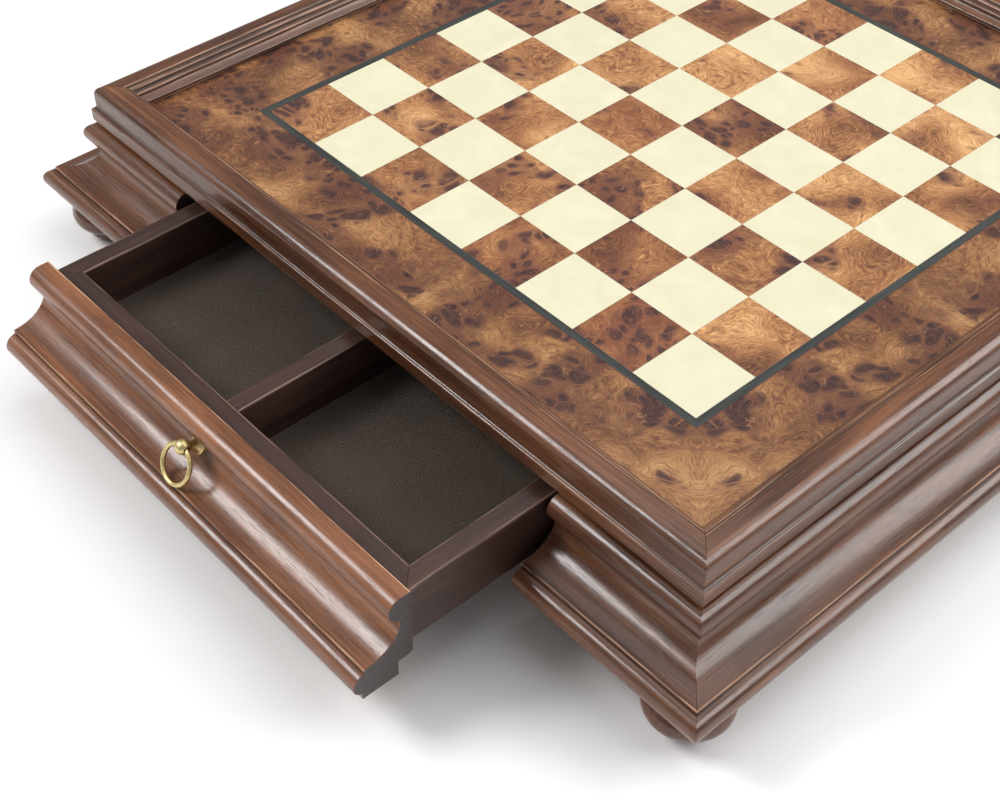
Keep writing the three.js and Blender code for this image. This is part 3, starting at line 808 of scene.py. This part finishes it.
def inner_wood(name, dark, light):
    """Plain wood of the pieces inside. The CAD meshes have no grain, so it uses their coordinates."""
    ply_pitch = 1.6 * MM
    g = Graph(name)
    place = g.node("ShaderNodeTexCoord").outputs["Object"]
    across = g.separate(g.node("ShaderNodeNewGeometry").outputs["Normal"])[2]
    figure = g.noise(g.scale(place, 12, 220, 220), 3.0, 0.6, 0.6)
    fibres = g.noise(g.scale(place, 60, 1500, 1500), 3.0, 0.65)
    blend = g.plus(g.times(figure, 0.6), g.times(fibres, 0.4))
    colour = g.ramp(blend, (0.35, linear(*dark)), (0.65, linear(*light)))
    level = g.separate(place)[2]
    layers = g.levels(g.math("SINE", g.times(level, 2 * math.pi / ply_pitch)), -0.2, 0.2)
    upright = g.levels(g.math("ABSOLUTE", across), 0.3, 0.6, 1.0, 0.0)
    colour = g.mix(g.times(g.times(layers, upright), 0.35), colour, linear(*dark))
    rough = g.levels(fibres, 0.3, 0.7, 0.58, 0.78)
    g.surface(base_color=colour, roughness=rough, normal=g.bump(fibres, 0.00012, 0.6), ior=1.45)
    return g.material


WALNUT = wood("walnut_moulding", (52, 28, 16), (96, 58, 37), (136, 89, 58), (196, 156, 126), 0.24, 0.3)
DRAWER_WALNUT = wood("walnut_drawer_front", (80, 45, 28), (124, 78, 51), (162, 108, 73), (214, 170, 134),
                     0.27, 0.3)
FOOT_WALNUT = wood("turned_walnut", (60, 31, 17), (92, 51, 30), (120, 70, 42), (168, 124, 92), 0.26, 0.3)
BOX_WOOD = wood("drawer_box_wood", (42, 26, 22), (60, 39, 33), (78, 52, 44), (132, 104, 92), 0.36, 0.1,
                end=(58, 42, 40), pale_scuffs=0.5)
BURL = burl("burl_border_veneer", 0.93)
BURL_SQUARES = burl("burl_square_veneer", 1.24)
CREAM = pale_veneer()
BLACK = black_line()
LINING = lining_cloth()
FELT = felt_pad()
BRASS = aged_brass()
PLYWOOD = inner_wood("carcass_plywood", (150, 112, 74), (196, 158, 112))
STAINED_INNER = inner_wood("stained_inner_wood", (48, 34, 30), (70, 50, 42))

# ---------------- the board


def add_squares():
    """Sixty-four separate veneers, each with a hair of an eased edge, as two objects."""
    edge = 0.10
    gap = 0.04
    side = SQUARE - 2 * gap
    for name, odd, material in (("light_squares", 1, CREAM), ("burl_squares", 0, BURL_SQUARES)):
        vertices, faces, grain, finish = [], [], [], []
        for column in range(8):
            for row in range(8):
                if (column + row) % 2 != odd:
                    continue
                x0 = CENTRE.x + (column * SQUARE - FIELD_HALF + gap) * MM
                y0 = CENTRE.y + (row * SQUARE - FIELD_HALF + gap) * MM
                spin = CHANCE.choice((0, 1, 2, 3)) * math.pi / 2 + CHANCE.uniform(-0.3, 0.3)
                offset = (CHANCE.uniform(0, 30), CHANCE.uniform(0, 30), CHANCE.uniform(0, 3))
                calm = CHANCE.choice((-0.2, 0.1, 0.3, 0.5, 0.8))
                red = CHANCE.choice((0.0, 0.0, 0.1, 0.25, 0.5))
                first = len(vertices)
                for inset, level in ((0.0, VENEER_BOTTOM), (0.0, -edge), (edge, 0.0)):
                    near, far = inset * MM, (side - inset) * MM
                    for x, y in ((near, near), (far, near), (far, far), (near, far)):
                        vertices.append((x0 + x, y0 + y, SURFACE + level * MM))
                        along = x * math.cos(spin) - y * math.sin(spin)
                        across = x * math.sin(spin) + y * math.cos(spin)
                        grain.append((along + offset[0], across + offset[1], offset[2]))
                plate = [(first + 3, first + 2, first + 1, first), tuple(range(first + 8, first + 12))]
                for layer in (first, first + 4):
                    for i in range(4):
                        j = (i + 1) % 4
                        plate.append((layer + i, layer + j, layer + 4 + j, layer + 4 + i))
                faces += plate
                finish += [(red, 0.0, calm)] * sum(len(face) for face in plate)
        made = make_object(name, vertices, faces, "cabinet", material,
                           ["chequer_field"], sharp=30)
        paint(made.data, grain, finish)


def book_matched(piece, turns, half):
    """Burl coordinates that mirror across the mitres, so that facing pieces match."""
    mesh = piece.data
    points = vertices_of(mesh) - np.array(CENTRE)
    x, y = points[:, 0], points[:, 1]
    along = {0: half - x, 1: y + half, 2: x + half, 3: half - y}[turns]
    out = half - {0: -y, 1: x, 2: y, 3: -x}[turns]
    # the front and right strips match at their corner, and the back and left ones at theirs
    start = 0.0 if turns < 2 else 7.3
    grain = np.stack([along + start, out, np.zeros(len(x))], axis=1).astype(np.float32)
    mesh.attributes["grain"].data.foreach_set("vector", grain.ravel())


def calm_towards(direction):
    """How calm a border strip's figure is: most at the corner between the front and right strips."""
    calm_reach = 75

    def calm(point):
        return max(0.0, 1 - (BOARD_HALF - point[0] * direction) / calm_reach) if direction else 0.0

    return calm


def add_board():
    line = rectangle(FIELD_HALF + GLUE_GAP, LINE_OUTER, VENEER_BOTTOM, 0)
    border = rectangle(LINE_OUTER + GLUE_GAP, BOARD_HALF, VENEER_BOTTOM, 0)
    towards_calm_corner = {"front": 1, "right": -1, "back": 0, "left": 0}
    for turns, side in enumerate(SIDES):
        sweep(f"stringing_{side}", line, "cabinet", BLACK, turns, veneer_right,
              veneer_left, radius=0.03, ease=0.01)
        strip = sweep(f"burl_border_{side}", border, "cabinet", BURL, turns, veneer_right,
                      veneer_left, radius=0.03, ease=0.01, calm=calm_towards(towards_calm_corner[side]))
        book_matched(strip, turns, BOARD_HALF * MM)
    add_squares()


def add_mouldings():
    rim = rim_outline()
    for turns, side in enumerate(SIDES):
        sweep(f"rim_{side}", rim, "cabinet", WALNUT, turns)
    base = base_outline()
    for turns in (1, 2, 3):
        sweep(f"base_moulding_{SIDES[turns]}", base, "cabinet", WALNUT, turns)
    for side, right, left in (
        ("front_right", mitre_right, square_at(JAMB)),
        ("front_left", square_at(-JAMB), mitre_left),
    ):
        sweep(f"base_moulding_{side}", base, "cabinet", WALNUT, 0, right, left)


def add_feet():
    """Turned feet: a bead, a waist, a bun, a neck under the moulding and a tenon, on a felt pad."""
    bead_radius, bead_x, bead_y = 2.3, 11.4, 3.8
    bun_round, bun_half = 5.9, 6.9
    neck_height = 1.7
    tenon_radius = 5
    felt_round = 0.3
    base_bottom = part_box("base_moulding_right")[0].z / MM
    for corner in ("front_left", "front_right", "back_left", "back_right"):
        foot = f"foot_{corner}"
        pad = f"foot_pad_{corner}"
        low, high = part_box(foot)
        pad_low, pad_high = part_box(pad)
        pad_top = pad_high.z / MM
        tenon_top = high.z / MM
        bun_x = (high.x - low.x) / 2 / MM - bun_round
        bun_y = base_bottom - neck_height - 0.8 - bun_half
        outline = Outline(0, pad_top + GLUE_GAP).line(bead_x, pad_top + GLUE_GAP)
        outline.arc(bead_x, bead_y, bead_radius, 2.6, -math.pi / 2, 0.4 * math.pi, 20)
        outline.line(bead_x + 0.2, bun_y - bun_half - 0.8).line(bun_x, bun_y - bun_half)
        outline.arc(bun_x, bun_y, bun_round, bun_half, -math.pi / 2, math.pi / 2, 28)
        outline.line(bun_x + 1, base_bottom - neck_height).line(bun_x + 1, base_bottom - GLUE_GAP)
        outline.line(tenon_radius, base_bottom - GLUE_GAP).line(tenon_radius, tenon_top).line(0, tenon_top)
        axis = middle(foot)
        place = Matrix.Translation((axis.x, axis.y, 0))
        lathe(foot, outline.points, place, "cabinet", FOOT_WALNUT, [foot])
        radius = (pad_high.x - pad_low.x) / 2 / MM
        felt = Outline(0, 0).line(radius - felt_round, 0).curve(radius, 0, radius, 0.4, 4)
        felt.line(radius, pad_top - felt_round)
        felt.curve(radius, pad_top, radius - felt_round, pad_top, 4).line(0, pad_top)
        lathe(pad, felt.points, place, "cabinet", FELT, [pad], steps=48)


# ---------------- the drawer


def pull_placement():
    """The pull's axis, which leans up out of the cove, and the middle of its ball."""
    axis = Vector((0, -math.cos(PULL_LEAN), math.sin(PULL_LEAN)))
    foot = DRAWER_CENTRE + Vector((0, -(MOULDING_BACK + PULL_OUT) * MM, 0))
    foot.z = SURFACE - PULL_DROP * MM
    turn = Vector((0, 0, 1)).rotation_difference(axis).to_matrix().to_4x4()
    return Matrix.Translation(foot) @ turn, foot + axis * BALL_REACH * MM


def add_pull():
    """A collar with a flat rim and a trumpet neck, and a ball on a shank that runs down through it."""
    place, ball = pull_placement()
    bore = 1.65
    seat, rim, rim_top, neck_top = 0.9, 4.8, 3.3, 7.9
    collar = Outline(bore, seat).line(rim - 0.3, seat).curve(rim, seat, rim, seat + 0.3, 4)
    collar.line(rim, rim_top - 0.5).curve(rim, rim_top, rim - 0.4, rim_top, 4)
    collar.curve(2.6, 4.4, 2.25, 7.0, 12).line(2.15, neck_top).line(bore, neck_top)
    lathe("pull_rosette", collar.points, place, "drawer", BRASS, ["pull_rosette"])
    shank, point, shank_end = 1.3, 1.2, -13.0
    neck = math.asin(shank / BALL_RADIUS)
    stem = Outline(0, shank_end).line(shank, shank_end + point)
    stem.line(shank, BALL_REACH - BALL_RADIUS * math.cos(neck))
    stem.arc(0, BALL_REACH, BALL_RADIUS, BALL_RADIUS, neck - math.pi / 2, math.pi / 2, 30)
    stem.points[-1] = (0.0, stem.points[-1][1])
    sideways = Matrix.Translation(ball) @ Matrix.Rotation(math.pi / 2, 4, "Y")
    cross_hole = [cylinder(CROSS_HOLE_RADIUS, -2 * BALL_RADIUS, 2 * BALL_RADIUS, sideways, 40)]
    lathe("pull_post", stem.points, place, "drawer", BRASS, ["pull_post"], 64, cross_hole)


def add_ring():
    """A ring of round wire through the ball, in the plane that leans out to the fillet's edge."""
    ball = pull_placement()[1]
    around, across = 120, 20
    down = Vector((0, -math.sin(RING_LEAN), -math.cos(RING_LEAN)))
    side = Vector((1, 0, 0))
    face = side.cross(down)
    centre = ball + down * (RING_RADIUS - RING_SAG) * MM
    vertices, faces, grain = [], [], []
    for i in range(around):
        angle = 2 * math.pi * i / around
        spoke = side * math.cos(angle) + down * math.sin(angle)
        for j in range(across):
            turn = 2 * math.pi * j / across
            out = RING_RADIUS + RING_WIRE_RADIUS * math.cos(turn)
            offset = (spoke * out + face * RING_WIRE_RADIUS * math.sin(turn)) * MM
            vertices.append(centre + offset)
            grain.append(tuple(offset + Vector((5, 5, 5))))
    for i in range(around):
        k = (i + 1) % around
        for j in range(across):
            m = (j + 1) % across
            faces.append((i * across + j, i * across + m, k * across + m, k * across + j))
    ring = make_object("pull_ring", vertices, faces, "ring", BRASS, ["pull_ring"])
    paint(ring.data, grain, [(0.0, 0.0, 0.0)] * len(ring.data.loops))


def add_lining(name, grain_level):
    """A liner glued down a little unevenly."""
    low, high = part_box(name)
    columns, rows = 40, 110
    swell_depth = 0.12
    vertices, faces, grain = [], [], []
    waves = [(CHANCE.uniform(0, 6), CHANCE.uniform(20, 60), CHANCE.uniform(20, 60)) for _ in range(4)]
    for layer in ("bottom", "top"):
        for i in range(columns + 1):
            for j in range(rows + 1):
                x = low.x + (high.x - low.x) * i / columns
                y = low.y + (high.y - low.y) * j / rows
                swell = sum(math.sin(phase + x * a + y * b) for phase, a, b in waves) / len(waves)
                z = low.z if layer == "bottom" else high.z - swell_depth * (1 + swell) * MM
                vertices.append((x, y, z))
                grain.append((x, y, z + grain_level))
    stride = rows + 1
    upper = (columns + 1) * stride
    for i in range(columns):
        for j in range(rows):
            a = i * stride + j
            faces.append((a, a + 1, a + stride + 1, a + stride))
            faces.append((upper + a, upper + a + stride, upper + a + stride + 1, upper + a + 1))
    rim = [i * stride for i in range(columns + 1)]
    rim += [columns * stride + j for j in range(1, rows + 1)]
    rim += [i * stride + rows for i in range(columns - 1, -1, -1)]
    rim += list(range(rows - 1, 0, -1))
    for a, b in zip(rim, rim[1:] + rim[:1]):
        faces.append((a, b, upper + b, upper + a))
    made = make_object(name, vertices, faces, "drawer", LINING, [name], sharp=50)
    paint(made.data, grain, [(0.0, 0.0, 0.0)] * len(made.data.loops))


def add_drawer():
    place = pull_placement()[0]
    shank_hole = (SHANK_HOLE_RADIUS, -16.0, 4.0, place, 32)
    seat = cylinder(5.1, 0.6, 5.6, place)
    sweep("drawer_front_moulding", drawer_front_outline(), "drawer", DRAWER_WALNUT, 0,
          square_at(DRAWER_HALF), square_at(-DRAWER_HALF), DRAWER_CENTRE, radius=0.4, ease=0.2,
          cutters=[seat, cylinder(*shank_hole)])
    add_pull()
    add_ring()

    def front_corner(distance):
        return BOX_HALF - (BOX_FRONT - distance) - MITRE_GAP / 2

    def side_corner(distance):
        return BOX_FRONT - (BOX_HALF - distance) - MITRE_GAP / 2

    def box_wall(name, outline, turns, right, left, centre=DRAWER_CENTRE, cutters=()):
        sweep(name, outline, "drawer", BOX_WOOD, turns, right, left, centre, radius=0.6,
              cutters=cutters)

    side_wall = box_wall_outline(BOX_HALF)
    box_wall("drawer_box_front", box_wall_outline(BOX_FRONT), 0, front_corner,
             lambda distance: -front_corner(distance), cutters=[cylinder(*shank_hole)])
    box_wall("drawer_side_left", side_wall, 3, side_corner, square_at(-BOX_BACK))
    box_wall("drawer_side_right", side_wall, 1, square_at(BOX_BACK),
             lambda distance: -side_corner(distance))
    for name, turns in (("drawer_back", 2), ("drawer_divider", 1)):
        low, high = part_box(name)
        size = (high - low) / 2 / MM
        at = middle(name)
        at.z = 0
        across, along = (size.y, size.x) if turns == 2 else (size.x, size.y)
        panel = rectangle(-across, across, *heights(name))
        box_wall(name, panel, turns, square_at(along), square_at(-along), at)
    add_lining("compartment_lining_left", 0.0)
    add_lining("compartment_lining_right", 2.0)


def finish_inner_pieces():
    """The CAD meshes inside keep their shape and get real wood."""
    stained = ("drawer_rail", "board_backing_veneer", "drawer_bottom")
    for name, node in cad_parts.items():
        if node.hide_render:
            continue
        material = STAINED_INNER if name in stained else PLYWOOD
        for slot in node.material_slots:
            slot.material = material


add_board()
add_mouldings()
add_feet()
add_drawer()
finish_inner_pieces()

# ---------------- floor, light and camera


def add_floor():
    bpy.ops.mesh.primitive_plane_add(size=14, location=(0, 0, 0))
    floor = bpy.context.object
    floor.name = "floor"
    g = Graph("pale_floor")
    g.surface(base_color=(0.96, 0.96, 0.96, 1), roughness=0.9)
    floor.data.materials.append(g.material)


def add_softbox(name, azimuth, elevation, distance, width, height, power):
    """A soft light that looks at the cabinet. Azimuth 0 is +X and 90 is +Y."""
    data = bpy.data.lights.new(name, "AREA")
    data.shape = "RECTANGLE"
    data.size = width
    data.size_y = height
    data.energy = power
    light = bpy.data.objects.new(name, data)
    bpy.context.scene.collection.objects.link(light)
    a, e = math.radians(azimuth), math.radians(elevation)
    direction = Vector((math.cos(a) * math.cos(e), math.sin(a) * math.cos(e), math.sin(e)))
    light.location = CENTRE + direction * distance
    light.rotation_euler = direction.to_track_quat("Z", "Y").to_euler()


def add_camera():
    """A camera over the front right corner. Azimuth 0 looks from -Y, and 90 from +X."""
    azimuth, elevation, roll = math.radians(47.6), math.radians(44.43), math.radians(0.51)
    distance, right_offset, up_offset = 0.8957, -0.0995, -0.150
    level = Vector((math.sin(azimuth), -math.cos(azimuth), 0))
    back = level * math.cos(elevation) + Vector((0, 0, math.sin(elevation)))
    right = Vector((math.cos(azimuth), math.sin(azimuth), 0))
    up = back.cross(right)
    tilted_right = right * math.cos(roll) + up * math.sin(roll)
    tilted_up = up * math.cos(roll) - right * math.sin(roll)
    target = Vector((CENTRE.x, CENTRE.y, SURFACE))
    data = bpy.data.cameras.new("camera")
    data.lens = 58.99
    data.sensor_width = 36
    data.clip_start = 0.01
    camera = bpy.data.objects.new("camera", data)
    bpy.context.scene.collection.objects.link(camera)
    axes = Matrix((tilted_right, tilted_up, back)).transposed().to_4x4()
    place = target + back * distance + tilted_right * right_offset + tilted_up * up_offset
    camera.matrix_world = Matrix.Translation(place) @ axes
    bpy.context.scene.camera = camera


def set_world():
    world = bpy.data.worlds.new("studio")
    world.use_nodes = True
    background = world.node_tree.nodes["Background"]
    background.inputs["Color"].default_value = (1.0, 1.0, 1.0, 1)
    background.inputs["Strength"].default_value = 0.33
    bpy.context.scene.world = world


add_floor()
add_softbox("right_back_box", 50, 38, 1.9, 1.9, 0.95, 31)
add_softbox("front_left_box", 232, 42, 1.8, 0.75, 0.6, 19)
add_softbox("overhead_box", 100, 80, 1.7, 1.4, 1.4, 8.5)
add_camera()
set_world()
bpy.context.scene.view_settings.view_transform = "Standard"
